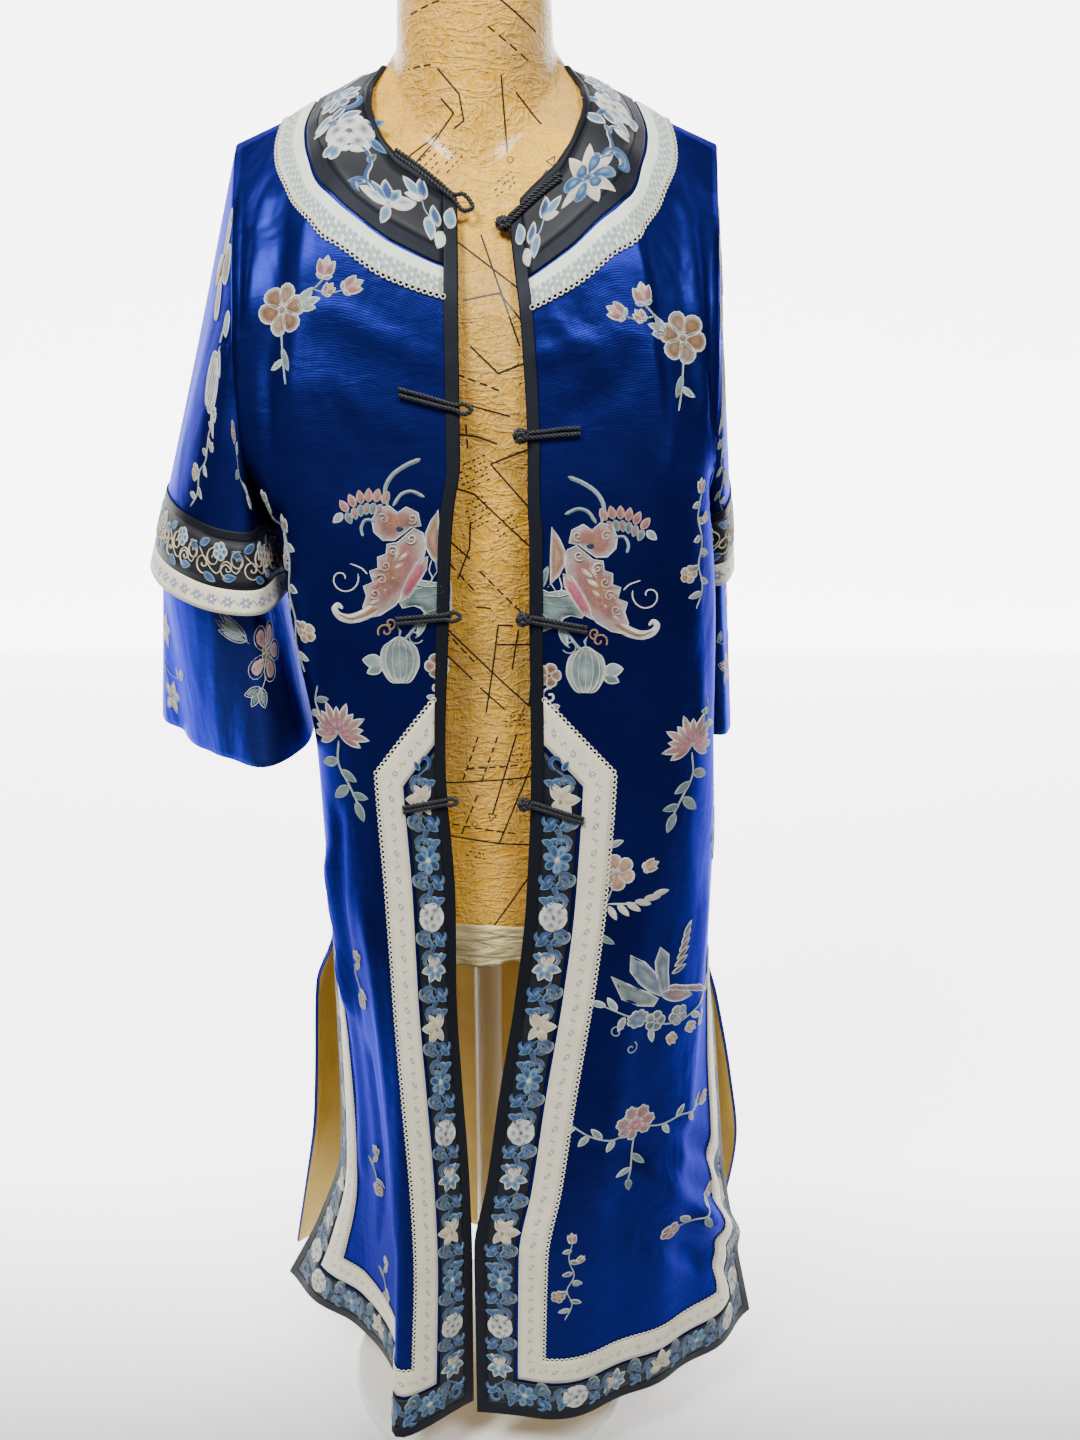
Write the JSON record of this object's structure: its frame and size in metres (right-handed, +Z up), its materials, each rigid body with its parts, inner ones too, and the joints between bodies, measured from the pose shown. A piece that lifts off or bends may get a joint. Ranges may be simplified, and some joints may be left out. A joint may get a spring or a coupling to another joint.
{
  "type": "silk robe on a dress form",
  "caption": "Centre-opening embroidered silk robe with round collar band, side vents and two-tier sleeves, on a limbless dress form with a stand.",
  "frame": {"origin": "centre of the stand base's underside, on the surface the part stands on", "axes": "+Z up along the stand's pole; the robe's front faces -Y and the wearer's right is -X"},
  "size_m": [0.5341, 0.3105, 1.24],
  "materials": {
    "blue_silk": "cobalt blue silk satin with coloured silk embroidery",
    "black_silk": "black silk satin binding",
    "embroidered_band": "black satin band embroidered in blues and cream",
    "woven_ribbon": "cream woven ribbon with small flowers and a looped edge",
    "mustard_lining": "plain mustard silk lining",
    "silk_cord": "twisted black silk cord",
    "varnished_paper": "varnished amber paper over a moulded form",
    "tissue_paper": "crumpled beige paper",
    "white_steel": "white painted steel"
  },
  "bodies": {
    "root": {"body_right": "blue_silk", "front_binding_right": "black_silk", "front_band_right": "embroidered_band", "front_ribbon_right": "woven_ribbon", "sleeve_right": "blue_silk", "sleeve_binding_right": "black_silk", "sleeve_band_right": "embroidered_band", "sleeve_ribbon_right": "woven_ribbon", "sleeve_lining_right": "mustard_lining", "undersleeve_right": "blue_silk", "body_left": "blue_silk", "front_binding_left": "black_silk", "front_band_left": "embroidered_band", "front_ribbon_left": "woven_ribbon", "sleeve_left": "blue_silk", "sleeve_binding_left": "black_silk", "sleeve_band_left": "embroidered_band", "sleeve_ribbon_left": "woven_ribbon", "sleeve_lining_left": "mustard_lining", "undersleeve_left": "blue_silk", "back_binding": "black_silk", "back_band": "embroidered_band", "back_ribbon": "woven_ribbon", "back_lining": "mustard_lining", "neck_piping": "black_silk", "collar_band": "embroidered_band", "collar_stripe": "black_silk", "collar_ribbon": "woven_ribbon", "frog_loop_1": "silk_cord", "frog_cord_1": "silk_cord", "frog_knot_1": "silk_cord", "frog_loop_2": "silk_cord", "frog_cord_2": "silk_cord", "frog_knot_2": "silk_cord", "frog_loop_3": "silk_cord", "frog_cord_3": "silk_cord", "frog_knot_3": "silk_cord", "frog_loop_4": "silk_cord", "frog_cord_4": "silk_cord", "frog_knot_4": "silk_cord", "form_body": "varnished_paper", "form_wrap": "tissue_paper", "stand_base": "white_steel", "stand_pole": "white_steel", "stand_flange": "white_steel"}
  },
  "joints": []
}
